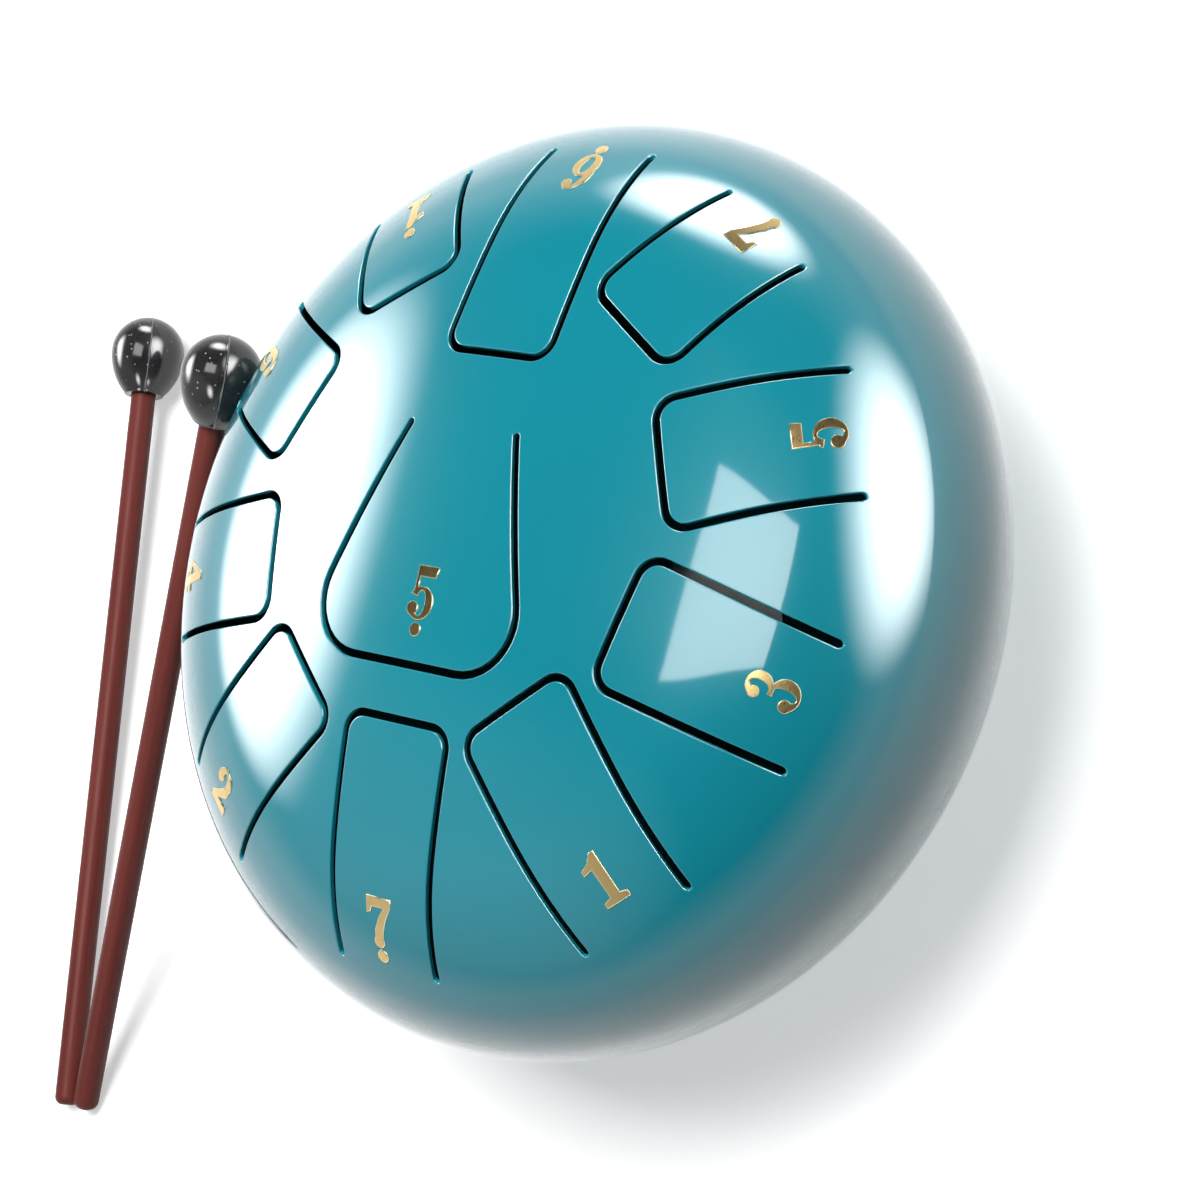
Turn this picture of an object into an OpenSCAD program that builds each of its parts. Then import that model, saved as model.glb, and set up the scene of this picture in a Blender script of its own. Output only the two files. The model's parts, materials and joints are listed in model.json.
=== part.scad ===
// Steel tongue drum: two pressed steel half shells, eleven tongues cut in the upper one,
// a gold number on each tongue, three rubber feet and a pair of rubber-headed mallets.
// Millimetres. +Z is up along the drum's axis, z = 0 is the underside of the lower shell.

/* [Shells] */
// Overall diameter of the drum at its rim
drum_d = 254; // [220:1:300]
// Height of the upper shell above the rim
dome_h = 58.2; // [52:0.1:66]
// Depth of the lower shell below the rim
base_h = 65.4; // [58:0.1:74]
// Thickness of the steel sheet
sheet_t = 1.5; // [0.8:0.1:2.5]
// Radius of the upper shell's rim curve, as a share of its height
dome_rim_share = 0.724; // [0.5:0.01:0.85]
// Radius of the upper shell's shoulder curve, as a share of its height
dome_shoulder_share = 1.267; // [1.1:0.01:1.5]
// Slope at which the upper shell's shoulder curve meets its rim curve, in degrees
dome_break_deg = 42; // [30:1:50]
// Radius of the lower shell's flat underside
flat_r = 38; // [32:0.5:44]
// Radius of the lower shell's rim curve, as a share of its depth
base_rim_share = 0.69; // [0.5:0.01:0.75]
// Diameter of the sound hole in the underside
hole_d = 50; // [36:1:58]

/* [Tongues] */
// Width of the slots cut around the tongues
slot_w = 2; // [1:0.1:3]
// Width of a ring tongue at its free end, to the middle of its slots
tip_w = 34.4; // [28:0.1:36]
// Width of a ring tongue at its root, to the middle of its slots
root_w = 33.1; // [28:0.1:36]
// Corner radius of a ring tongue's slot
corner_r = 5.5; // [3:0.5:8]
// Distance of the ring tongues' roots from the drum's axis
root_r = 110; // [106:0.5:113]
// Length of the centre tongue
centre_l = 62.6; // [54:0.1:66]
// Distance of the centre tongue's root from the drum's axis
centre_root = 28.3; // [24:0.1:30]
// Width of the centre tongue at its root, to the middle of its slots
centre_root_w = 35.4; // [30:0.1:42]
// Width of the centre tongue at its free end, measured to its unrounded corners
centre_tip_w = 76.8; // [66:0.1:80]
// Corner radius of the centre tongue's slot
centre_corner_r = 15; // [10:0.5:18]
// Offset of the centre tongue from the drum's axis
centre_shift = 2; // [0:0.1:3]
// Cut left between a tongue's root and the shell, for its hinge
root_gap = 0.05; // [0.03:0.01:0.1]

/* [Numbers] */
// Height of a digit
digit_h = 14; // [10:0.5:15]
// Diameter of an octave dot
dot_d = 3.6; // [2.4:0.1:4]
// Space between a digit and its dot
dot_gap = 0.6; // [0.4:0.1:1]
// Thickness of the metal foil
foil_t = 0.3; // [0.2:0.05:0.5]
// Glue line under the foil
glue_t = 0.05; // [0.03:0.01:0.1]

/* [Feet] */
// Diameter of a rubber foot
foot_d = 16; // [10:0.5:20]
// Height of a foot below the underside
foot_h = 4; // [2:0.5:6]
// Distance of the feet from the drum's axis
foot_r = 60; // [54:0.5:70]
// Rounding at a foot's lower edge
foot_edge_r = 1.5; // [0.5:0.1:1.8]
// Glue line over a foot
foot_glue_t = 0.1; // [0.05:0.01:0.2]

/* [Mallets] */
// Length of a mallet from its butt to the middle of its head
mallet_l = 247.5; // [235:0.5:262]
// Diameter of a stick
stick_d = 8; // [6:0.1:10]
// Rounding at a stick's butt
butt_r = 2.5; // [1:0.1:2.9]
// Widest diameter of a head
head_d = 24; // [20:0.5:30]
// Length of a head below its widest place
head_skirt = 14.5; // [12:0.5:16]
// Diameter of a head where the stick enters it
head_neck_d = 12; // [11:0.5:14]
// Depth to which the stick enters the head
socket_l = 17; // [12:0.5:20]
// Clearance around the stick in its socket
socket_gap = 0.05; // [0.03:0.01:0.2]
// Direction from the drum's axis to the head that leans on the drum, in degrees
lean_deg = 163.3; // [150:0.1:175]
// Slope of the upper shell where the leaning head meets it, in degrees
lean_slope_deg = 68; // [60:0.5:90]
// Heading of the leaning mallet from its head to its butt, in degrees
lean_heading = 254.2; // [250:0.1:262]
// Heading of the lying mallet from its butt to its head, in degrees
lying_heading = 101.2; // [96:0.1:106]
// Space left between pieces that lean on each other
touch_gap = 0.3; // [0.2:0.05:0.5]

/* [Hidden] */

$fn = 96;
// Fragments of the large shell curves
shell_fn = 360;

drum_r = drum_d / 2;
// Overrun of cutting shapes past the faces that they cut
over = sheet_t;

// Upper shell profile: three arcs tangent to each other, from the crown to the rim.
// An arc is [centre, radius, start slope, end slope], with z measured from the rim plane.
dome_rim_r = dome_rim_share * dome_h;
dome_shoulder_r = dome_shoulder_share * dome_h;
dome_step = dome_shoulder_r - dome_rim_r;
dome_run = drum_r - dome_rim_r - dome_step * sin(dome_break_deg);
dome_rise = dome_h + dome_step * cos(dome_break_deg) - dome_shoulder_r;
crown_deg = 2 * atan(dome_rise / dome_run);
crown_r = dome_run / sin(crown_deg) + dome_shoulder_r;
crown_c = [0, dome_h - crown_r];
shoulder_c = crown_c + (crown_r - dome_shoulder_r) * [sin(crown_deg), cos(crown_deg)];
rim_c = [drum_r - dome_rim_r, 0];
DOME = [
    [crown_c, crown_r, 0, crown_deg],
    [shoulder_c, dome_shoulder_r, crown_deg, dome_break_deg],
    [rim_c, dome_rim_r, dome_break_deg, 90]
];

// Lower shell profile: a flat, a shoulder arc and a rim arc, with z measured down from the rim plane
base_rim_r = base_rim_share * base_h;
base_run = drum_r - flat_r - base_rim_r;
base_deg = 2 * atan((base_h - base_rim_r) / base_run);
base_shoulder_r = base_run / sin(base_deg) + base_rim_r;
BASE = [
    [[flat_r, base_h - base_shoulder_r], base_shoulder_r, 0, base_deg],
    [[drum_r - base_rim_r, 0], base_rim_r, base_deg, 90]
];

// Tongues in the order of NODES: direction of each, and the radius of its slot's inner end
tongue_deg = [90, 90, 270, -48.5, 228.5, -12, 192, 24, 156, 58, 122];
tip_shares = [0, 0.381, 0.380, 0.406, 0.426, 0.474, 0.478, 0.508, 0.535, 0.555, 0.59];
// Digit on each tongue, its dot (-1 under it, 1 over it) and, on the ring tongues, its distance from the axis
digit_of = [5, 6, 7, 1, 2, 3, 4, 5, 6, 7, 1];
dot_of = [-1, -1, -1, 0, 0, 0, 0, 0, 0, 0, 1];
number_shares = [0, 0.805, 0.780, 0.778, 0.80, 0.80, 0.80, 0.808, 0.80, 0.848, 0.81];
// The centre tongue's number: its distance from the root as a share of the tongue's length, and its
// sideways offset as a share of the drum's radius
centre_number_back_share = 0.706;
centre_number_side_share = -0.012;

// Digit strokes as shares of the digit's height, x from its middle and y up from its foot.
// A plate is a polygon, a bow is [centre x, y, radius x, y, wall x, y, start, end angle],
// a ball is [x, y, radius] and a hole is a polygon cut out.
plate_shares = [
    [],
    [[[-0.26, 0], [0.28, 0], [0.28, 0.11], [0.14, 0.15], [0.14, 1], [0.03, 1], [-0.10, 0.86],
        [-0.28, 0.79], [-0.28, 0.68], [-0.09, 0.71], [-0.09, 0.15], [-0.26, 0.11]]],
    [[[0.28, 0.64], [0.08, 0.64], [-0.06, 0.42], [-0.29, 0.16], [-0.29, 0], [-0.10, 0.13],
        [0.08, 0.31], [0.22, 0.45]],
        [[-0.29, 0], [0.29, 0], [0.29, 0.27], [0.22, 0.21], [-0.06, 0.21], [-0.29, 0.10]]],
    [[[-0.10, 0.48], [0.06, 0.48], [0.06, 0.57], [-0.10, 0.57]]],
    [[[0.17, 1], [0.17, 0.36], [0.30, 0.36], [0.30, 0.22], [0.17, 0.22], [0.17, 0.13], [0.27, 0.10],
        [0.27, 0], [-0.13, 0], [-0.13, 0.10], [-0.03, 0.13], [-0.03, 0.22], [-0.31, 0.22],
        [-0.31, 0.36], [0.03, 1]]],
    [[[-0.21, 0.47], [-0.12, 0.52], [-0.13, 0.79], [0.24, 0.79], [0.27, 1], [-0.22, 1]]],
    [],
    [[[-0.29, 0.66], [-0.20, 0.69], [-0.15, 0.80], [0.12, 0.80], [0, 0.62], [-0.11, 0.36], [-0.13, 0.10],
        [0.07, 0.10], [0.09, 0.32], [0.17, 0.58], [0.30, 0.85], [0.30, 1], [-0.29, 1]]]
];
bow_shares = [
    [],
    [],
    [[0, 0.72, 0.28, 0.28, 0.19, 0.08, -20, 170]],
    [[0, 0.755, 0.25, 0.245, 0.17, 0.07, -90, 150], [0, 0.28, 0.29, 0.28, 0.19, 0.07, -150, 90]],
    [],
    [[-0.01, 0.31, 0.30, 0.31, 0.19, 0.08, -145, 150]],
    [[0, 0.32, 0.29, 0.32, 0.18, 0.08, 0, 180], [0, 0.32, 0.29, 0.32, 0.18, 0.08, 180, 360],
        [0.07, 0.56, 0.36, 0.44, 0.18, 0.08, 70, 205]],
    []
];
ball_shares = [
    [],
    [],
    [[-0.16, 0.71, 0.12]],
    [[-0.14, 0.81, 0.11], [-0.17, 0.21, 0.12]],
    [],
    [[-0.17, 0.20, 0.13]],
    [[0.16, 0.84, 0.11]],
    [[-0.03, 0.125, 0.125]]
];
hole_shares = [[], [], [], [], [[[-0.03, 0.36], [-0.03, 0.70], [-0.19, 0.36]]], [], [], []];
// Segments of a bow, and of a tongue's rounded corner
bow_steps = 18;
corner_steps = 8;

rim_z = base_h;
floor_z = -foot_h;
stick_r = stick_d / 2;
head_r = head_d / 2;
neck_r = head_neck_d / 2;
// The skirt's arc leaves the widest place upright and reaches the neck at the skirt's end
skirt_arc_r = (head_skirt * head_skirt + pow(head_r - neck_r, 2)) / (2 * (head_r - neck_r));

// The leaning mallet: its head rests against the upper shell's rim curve and its butt on the ground
lean_reach_r = dome_rim_r + head_r + touch_gap;
lean_out = rim_c[0] + lean_reach_r * sin(lean_slope_deg);
lean_head = [lean_out * cos(lean_deg), lean_out * sin(lean_deg), rim_z + lean_reach_r * cos(lean_slope_deg)];
// Rise of its stick at which the rounded butt just meets the ground
butt_flat_r = stick_r - butt_r;
lean_up_deg = asin((lean_head[2] - floor_z - butt_r) / norm([mallet_l - butt_r, butt_flat_r]))
    - atan(butt_flat_r / (mallet_l - butt_r));
lean_butt = lean_head + mallet_l * [
    cos(lean_up_deg) * cos(lean_heading), cos(lean_up_deg) * sin(lean_heading), -sin(lean_up_deg)
];
// The lying mallet: its butt beside the other butt, its head on the ground
lying_rise = head_r - stick_r;
lying_reach = sqrt(mallet_l * mallet_l - lying_rise * lying_rise);
// The rounded butts let the two sticks start nearer than a stick's width, since they spread from there
spread_deg = lying_heading - lean_heading + 180;
butt_space = stick_d + touch_gap - butt_r * sin(spread_deg);
lying_butt = [
    lean_butt[0] + butt_space * cos(lying_heading + 90),
    lean_butt[1] + butt_space * sin(lying_heading + 90),
    floor_z + stick_r
];
lying_head = lying_butt + [lying_reach * cos(lying_heading), lying_reach * sin(lying_heading), lying_rise];

// Point on an oval
function oval_point(c, r, a) = [c[0] + r[0] * cos(a), c[1] + r[1] * sin(a)];

// Closed outline of a bow: its outer arc out, its inner arc back
function bow_outline(b) = [
    for (i = [0 : bow_steps]) oval_point([b[0], b[1]], [b[2], b[3]], b[6] + (b[7] - b[6]) * i / bow_steps),
    for (i = [bow_steps : -1 : 0])
        oval_point([b[0], b[1]], [b[2] - b[4], b[3] - b[5]], b[6] + (b[7] - b[6]) * i / bow_steps)
];

// Arc of the upper shell that a distance from the axis falls on
function dome_arc(r) =
    r < crown_r * sin(crown_deg) ? DOME[0] :
    r < shoulder_c[0] + dome_shoulder_r * sin(dome_break_deg) ? DOME[1] : DOME[2];

// Slope of the upper shell at a distance from the axis
function dome_slope(r) = let (a = dome_arc(abs(r))) asin((abs(r) - a[0][0]) / a[1]);

// Height of the upper shell's outside above the rim plane at a distance from the axis
function dome_z(r) = let (a = dome_arc(abs(r))) a[0][1] + a[1] * cos(dome_slope(r));

// What lies outside a profile arc, from its start slope to past the rim plane, offset from the arc
module beyond(arc, off) {
    far = 2 * arc[1];
    translate(arc[0])
        difference() {
            polygon([[0, 0], far * [sin(arc[2]), cos(arc[2])], [far, far], [far, -far], [0, -far]]);
            circle(r = arc[1] + off, $fn = shell_fn);
        }
}

// Half of a shell's filled section: a block with all that lies beyond its arcs cut away
module section(arcs, height, off, below) {
    difference() {
        translate([0, -below]) square([drum_r + over, height + off + below]);
        for (arc = arcs) beyond(arc, off);
    }
}

// Layer of a shell of revolution between two offsets from its outside
module shell_layer(arcs, height, outside, inside) {
    rotate_extrude($fn = shell_fn)
        difference() {
            section(arcs, height, outside, 0);
            section(arcs, height, inside, over);
        }
}

module dome_layer(outside, inside) {
    translate([0, 0, rim_z])
        shell_layer(DOME, dome_h, outside, inside);
}

// Points of an arc of a circle
function arc_points(c, r, from, to) = [
    for (i = [0 : corner_steps]) c + r * [cos(from + (to - from) * i / corner_steps),
        sin(from + (to - from) * i / corner_steps)]
];

// Outline of a tongue along +X, free end first. grow moves it out from the middle of the slots.
module tongue_outline(tip, root, tip_half, root_half, corner, grow, root_cut) {
    lean = atan((root_half - tip_half) / (root - tip));
    end = root - root_cut;
    end_half = tip_half + (end - tip) * tan(lean) + grow / cos(lean);
    bend = [tip + corner, tip_half + corner * tan(lean) - corner / cos(lean)];
    polygon(concat(
        [[end, -end_half], [end, end_half]],
        arc_points(bend, corner + grow, 90 + lean, 180),
        arc_points([bend[0], -bend[1]], corner + grow, 180, 270 - lean)
    ));
}

// Outline of tongue i in its place, seen from above
module tongue_plan(i, grow, root_cut) {
    if (i == 0)
        translate([-centre_shift, 0])
            rotate(tongue_deg[i])
                tongue_outline(centre_root - centre_l, centre_root, centre_tip_w / 2, centre_root_w / 2,
                    centre_corner_r, grow, root_cut);
    else
        rotate(tongue_deg[i])
            tongue_outline(tip_shares[i] * drum_r, root_r, tip_w / 2, root_w / 2,
                corner_r, grow, root_cut);
}

// Upright prism of tongue i through the whole dome
module tongue_prism(i, grow, root_cut) {
    translate([0, 0, rim_z])
        linear_extrude(height = dome_h + over)
            tongue_plan(i, grow, root_cut);
}

// Digit n, upright, with its foot on y = 0
module digit(n) {
    difference() {
        union() {
            for (p = plate_shares[n]) polygon(digit_h * p);
            for (b = bow_shares[n])
                polygon(digit_h * bow_outline(b));
            for (b = ball_shares[n]) translate(digit_h * [b[0], b[1]]) circle(r = digit_h * b[2]);
        }
        for (h = hole_shares[n]) polygon(digit_h * h);
    }
}

// Digit and dot of number i, with the digit's middle at the origin
module number_plan(i) {
    translate([0, -digit_h / 2]) digit(digit_of[i]);
    if (dot_of[i] != 0)
        translate([0, dot_of[i] * (digit_h / 2 + dot_gap + dot_d / 2)]) circle(d = dot_d, $fn = 32);
}

module top_shell() {
    color([0.05, 0.56, 0.63])
        difference() {
            dome_layer(0, -sheet_t);
            for (i = [0 : len(tongue_deg) - 1]) tongue_prism(i, slot_w / 2, 0);
        }
}

module tongue(i) {
    color([0.07, 0.60, 0.67])
        intersection() {
            dome_layer(0, -sheet_t);
            tongue_prism(i, -slot_w / 2, root_gap);
        }
}

// The foil follows the tongue's surface, cut out square to it at the digit's middle
module number(i) {
    centre = i == 0;
    away = centre ? centre_root - centre_number_back_share * centre_l : number_shares[i] * drum_r;
    aside = centre ? centre_shift - centre_number_side_share * drum_r : 0;
    color([0.72, 0.58, 0.25])
        intersection() {
            dome_layer(glue_t + foil_t, glue_t);
            rotate(tongue_deg[i])
                translate([away, aside, rim_z + dome_z(away)])
                    rotate([0, dome_slope(away) * sign(away), 0])
                        rotate(centre ? -90 : 90)
                            linear_extrude(height = digit_h, center = true)
                                number_plan(i);
        }
}

module bottom_shell() {
    color([0.04, 0.50, 0.57])
        difference() {
            translate([0, 0, rim_z])
                mirror([0, 0, 1])
                    shell_layer(BASE, base_h, 0, -sheet_t);
            translate([0, 0, -over]) cylinder(d = hole_d, h = sheet_t + 2 * over);
        }
}

// Space that the lower shell takes up, moved out by the glue line
module base_space() {
    translate([0, 0, rim_z])
        mirror([0, 0, 1])
            rotate_extrude($fn = shell_fn)
                section(BASE, base_h, foot_glue_t, 0);
}

module foot(k) {
    color([0.08, 0.08, 0.08])
        difference() {
            rotate(90 + k * 360 / 3)
                translate([foot_r, 0, floor_z])
                    rotate_extrude() {
                        translate([0, foot_edge_r]) square([foot_d / 2, foot_h + foot_d / 4 - foot_edge_r]);
                        square([foot_d / 2 - foot_edge_r, foot_edge_r]);
                        translate([foot_d / 2 - foot_edge_r, foot_edge_r])
                            intersection() {
                                circle(r = foot_edge_r);
                                translate([0, -foot_edge_r]) square(foot_edge_r);
                            }
                    }
            base_space();
        }
}

// Carries what stands along +Z at the origin to the line from one point to another
module along(from, to) {
    d = to - from;
    translate(from)
        rotate([0, acos(d[2] / norm(d)), atan2(d[1], d[0])])
            children();
}

// Stick with its butt at the origin and its other end in the head's socket
module stick() {
    color([0.48, 0.22, 0.19])
        rotate_extrude() {
            translate([0, butt_r]) square([stick_r, mallet_l - head_skirt + socket_l - butt_r]);
            square([stick_r - butt_r, butt_r]);
            translate([stick_r - butt_r, butt_r])
                intersection() {
                    circle(r = butt_r);
                    translate([0, -butt_r]) square(butt_r);
                }
        }
}

// Head with its widest place at the origin: a half ball over a skirt that narrows to the stick
module head() {
    color([0.06, 0.06, 0.065])
        difference() {
            rotate_extrude() {
                intersection() {
                    circle(r = head_r);
                    square(head_r);
                }
                intersection() {
                    translate([head_r - skirt_arc_r, 0]) circle(r = skirt_arc_r);
                    translate([0, -head_skirt]) square([head_r, head_skirt]);
                }
            }
            translate([0, 0, -head_skirt - over])
                cylinder(r = stick_r + socket_gap, h = socket_l + socket_gap + over);
        }
}

top_shell();
bottom_shell();
tongue(0);  // tongue_low_5
tongue(1);  // tongue_low_6
tongue(2);  // tongue_low_7
tongue(3);  // tongue_1
tongue(4);  // tongue_2
tongue(5);  // tongue_3
tongue(6);  // tongue_4
tongue(7);  // tongue_5
tongue(8);  // tongue_6
tongue(9);  // tongue_7
tongue(10);  // tongue_high_1
number(0);  // number_low_5
number(1);  // number_low_6
number(2);  // number_low_7
number(3);  // number_1
number(4);  // number_2
number(5);  // number_3
number(6);  // number_4
number(7);  // number_5
number(8);  // number_6
number(9);  // number_7
number(10);  // number_high_1
foot(0);  // foot_1
foot(1);  // foot_2
foot(2);  // foot_3
along(lying_butt, lying_head) stick();  // left_mallet_stick
along(lying_butt, lying_head) translate([0, 0, mallet_l]) head();  // left_mallet_head
along(lean_butt, lean_head) stick();  // right_mallet_stick
along(lean_butt, lean_head) translate([0, 0, mallet_l]) head();  // right_mallet_head
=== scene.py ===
import json
import math

import bpy
import numpy as np
from mathutils import Matrix, Vector
from mathutils.geometry import delaunay_2d_cdt

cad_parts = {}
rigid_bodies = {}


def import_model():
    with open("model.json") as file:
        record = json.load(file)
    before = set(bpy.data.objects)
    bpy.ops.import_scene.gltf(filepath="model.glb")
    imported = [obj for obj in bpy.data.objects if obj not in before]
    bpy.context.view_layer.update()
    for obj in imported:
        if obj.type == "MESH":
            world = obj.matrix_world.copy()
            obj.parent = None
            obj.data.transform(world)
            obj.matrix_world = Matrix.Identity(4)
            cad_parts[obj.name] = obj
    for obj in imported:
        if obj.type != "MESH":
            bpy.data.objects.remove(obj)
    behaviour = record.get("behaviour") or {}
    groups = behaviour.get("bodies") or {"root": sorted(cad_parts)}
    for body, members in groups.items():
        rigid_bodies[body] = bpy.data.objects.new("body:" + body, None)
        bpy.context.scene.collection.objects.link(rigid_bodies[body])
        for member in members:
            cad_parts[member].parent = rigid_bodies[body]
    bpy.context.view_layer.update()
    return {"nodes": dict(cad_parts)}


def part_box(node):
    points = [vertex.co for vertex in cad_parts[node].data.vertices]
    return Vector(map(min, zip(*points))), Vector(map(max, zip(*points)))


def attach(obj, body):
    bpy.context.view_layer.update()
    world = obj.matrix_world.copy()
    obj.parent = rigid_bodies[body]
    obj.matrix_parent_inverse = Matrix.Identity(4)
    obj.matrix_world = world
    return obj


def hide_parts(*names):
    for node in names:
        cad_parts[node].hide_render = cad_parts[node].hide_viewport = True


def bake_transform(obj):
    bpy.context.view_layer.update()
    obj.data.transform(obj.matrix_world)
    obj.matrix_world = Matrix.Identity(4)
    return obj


for left in list(bpy.data.objects):
    bpy.data.objects.remove(left)
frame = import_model()
mm = 0.001

# the drum's own sizes, from the frame
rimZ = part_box("top_shell")[0].z
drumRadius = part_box("bottom_shell")[1].x
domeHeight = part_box("tongue_low_5")[1].z - rimZ
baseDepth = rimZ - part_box("bottom_shell")[0].z
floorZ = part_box("foot_1")[0].z
print("frame loaded, drum", round(2 * drumRadius / mm, 1), "mm across")

# place and direction of the camera, and the way that the picture's foot points
cameraView = {
    "place": (0.52268, -0.07606, 0.70918),
    "look": (-0.62038, 0.08862, -0.77927),
    "down": (0.14347, -0.96401, -0.22385),
    "focalPixels": 3115.66,
    "picturePixels": 1200,
}


def addCamera(view):
    data = bpy.data.cameras.new("camera")
    data.lens = data.sensor_width * view["focalPixels"] / view["picturePixels"]
    eye = bpy.data.objects.new("camera", data)
    bpy.context.scene.collection.objects.link(eye)
    look, up = Vector(view["look"]).normalized(), -Vector(view["down"])
    right = look.cross(up).normalized()
    turn = Matrix((right, right.cross(look), -look)).transposed()
    eye.matrix_world = Matrix.Translation(view["place"]) @ turn.to_4x4()
    bpy.context.scene.camera = eye


addCamera(cameraView)


# one named node with its fixed values, in a material, group or world
def addNode(tree, kind, **values):
    node = tree.nodes.new(kind)
    for name, value in values.items():
        if name in node.inputs:
            node.inputs[name].default_value = value
        else:
            setattr(node, name, value)
    return node


# a node's output, joined to an input
def join(tree, output, target):
    tree.links.new(output, target)


# an input's value: a fixed one, or what a node's output gives
def feed(tree, value, target):
    if isinstance(value, bpy.types.NodeSocket):
        join(tree, value, target)
    else:
        target.default_value = value


# one calculation on two numbers, each fixed or a node's output
def calculate(tree, operation, first, second, clamped=False):
    node = addNode(tree, "ShaderNodeMath", operation=operation, use_clamp=clamped)
    feed(tree, first, node.inputs[0])
    feed(tree, second, node.inputs[1])
    return node.outputs[0]


def lengthOf(tree, vector):
    node = addNode(tree, "ShaderNodeVectorMath", operation="LENGTH")
    join(tree, vector, node.inputs[0])
    return node.outputs["Value"]


# how far up a vector points
def heightOf(tree, vector):
    node = addNode(tree, "ShaderNodeSeparateXYZ")
    join(tree, vector, node.inputs[0])
    return node.outputs["Z"]


# a number that each vertex of a piece carries
def readNumber(tree, attribute):
    return addNode(tree, "ShaderNodeAttribute", attribute_name=attribute).outputs["Fac"]


def startMaterial(name):
    material = bpy.data.materials.new(name)
    material.use_nodes = True
    tree = material.node_tree
    return material, tree, tree.nodes["Principled BSDF"]


# a new group with what it takes, numbers or vectors by name, and the numbers that it gives
def startGroup(name, takes, gives):
    group = bpy.data.node_groups.new(name, "ShaderNodeTree")
    for label, value in takes.items():
        kind = "NodeSocketVector" if isinstance(value, tuple) else "NodeSocketFloat"
        group.interface.new_socket(label, in_out="INPUT", socket_type=kind).default_value = value
    for label in gives:
        group.interface.new_socket(label, in_out="OUTPUT", socket_type="NodeSocketFloat")
    return group, addNode(group, "NodeGroupInput"), addNode(group, "NodeGroupOutput")


# a group that both finishes and floor use: broad = slow change over the surface, fine = grain at a much
# smaller scale, both from 0 to 1, with the pattern drawn out along the axes by stretch
def makeVariation():
    takes = {"Place": (0, 0, 0), "Stretch": (1, 1, 1), "Broad Scale": 20, "Fine Scale": 600}
    group, given, result = startGroup("surface variation", takes, ("Broad", "Fine"))
    drawn = addNode(group, "ShaderNodeVectorMath", operation="MULTIPLY")
    join(group, given.outputs["Place"], drawn.inputs[0])
    join(group, given.outputs["Stretch"], drawn.inputs[1])
    for name, detail in (("Broad", 3.0), ("Fine", 2.0)):
        noise = addNode(group, "ShaderNodeTexNoise", Detail=detail, Roughness=0.5)
        join(group, drawn.outputs[0], noise.inputs["Vector"])
        join(group, given.outputs[name + " Scale"], noise.inputs["Scale"])
        join(group, noise.outputs["Fac"], result.inputs[name])
    return group


# a group for scattered specks: 1 inside small dots of a cell pattern, of which only a share is kept
def makeSpecks():
    takes = {"Place": (0, 0, 0), "Scale": 500, "Size": 0.15, "Share": 0.1}
    group, given, result = startGroup("specks", takes, ("Mask",))
    cells = addNode(group, "ShaderNodeTexVoronoi")
    join(group, given.outputs["Place"], cells.inputs["Vector"])
    join(group, given.outputs["Scale"], cells.inputs["Scale"])
    near = calculate(group, "LESS_THAN", cells.outputs["Distance"], given.outputs["Size"])
    tone = addNode(group, "ShaderNodeSeparateColor")
    join(group, cells.outputs["Color"], tone.inputs[0])
    kept = calculate(group, "LESS_THAN", tone.outputs[0], given.outputs["Share"])
    join(group, calculate(group, "MULTIPLY", near, kept), result.inputs["Mask"])
    return group


variation, specks = makeVariation(), makeSpecks()


# where a material's patterns are read: object coordinates, or the piece's own "local" attribute
def placeOutput(tree, attribute=None):
    if attribute:
        return addNode(tree, "ShaderNodeAttribute", attribute_name=attribute).outputs["Vector"]
    return addNode(tree, "ShaderNodeTexCoord").outputs["Object"]


def useVariation(tree, place, broad, fine, stretch=(1, 1, 1)):
    node = addNode(tree, "ShaderNodeGroup", node_tree=variation)
    for name, value in (("Place", place), ("Stretch", stretch), ("Broad Scale", broad), ("Fine Scale", fine)):
        feed(tree, value, node.inputs[name])
    return node.outputs["Broad"], node.outputs["Fine"]


def useSpecks(tree, place, scale, size, share):
    node = addNode(tree, "ShaderNodeGroup", node_tree=specks)
    for name, value in (("Place", place), ("Scale", scale), ("Size", size), ("Share", share)):
        feed(tree, value, node.inputs[name])
    return node.outputs["Mask"]


# a number that goes from low to high as a factor goes over a range of its values, evenly or eased
def between(tree, factor, low, high, start=0.3, stop=0.7, curve="LINEAR"):
    ramp = addNode(tree, "ShaderNodeMapRange", interpolation_type=curve)
    feed(tree, factor, ramp.inputs["Value"])
    for name, value in (("From Min", start), ("From Max", stop), ("To Min", low), ("To Max", high)):
        feed(tree, value, ramp.inputs[name])
    return ramp.outputs["Result"]


# one colour turning into another as a factor goes over a range of its values
def blendColours(tree, factor, first, second, low=0.3, high=0.7):
    mix = addNode(tree, "ShaderNodeMix", data_type="RGBA")
    join(tree, between(tree, factor, 0.0, 1.0, low, high), mix.inputs["Factor"])
    for value, index in ((first, 6), (second, 7)):
        feed(tree, (*value, 1) if isinstance(value, tuple) else value, mix.inputs[index])
    return mix.outputs[2]


def mixNumbers(tree, factor, first, second):
    mix = addNode(tree, "ShaderNodeMix")
    for value, index in ((factor, 0), (first, 2), (second, 3)):
        feed(tree, value, mix.inputs[index])
    return mix.outputs[0]


def addBump(tree, surface, height, depth, strength=1.0):
    bump = addNode(tree, "ShaderNodeBump", Strength=strength, Distance=depth)
    join(tree, height, bump.inputs["Height"])
    join(tree, bump.outputs["Normal"], surface.inputs["Normal"])


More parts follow.
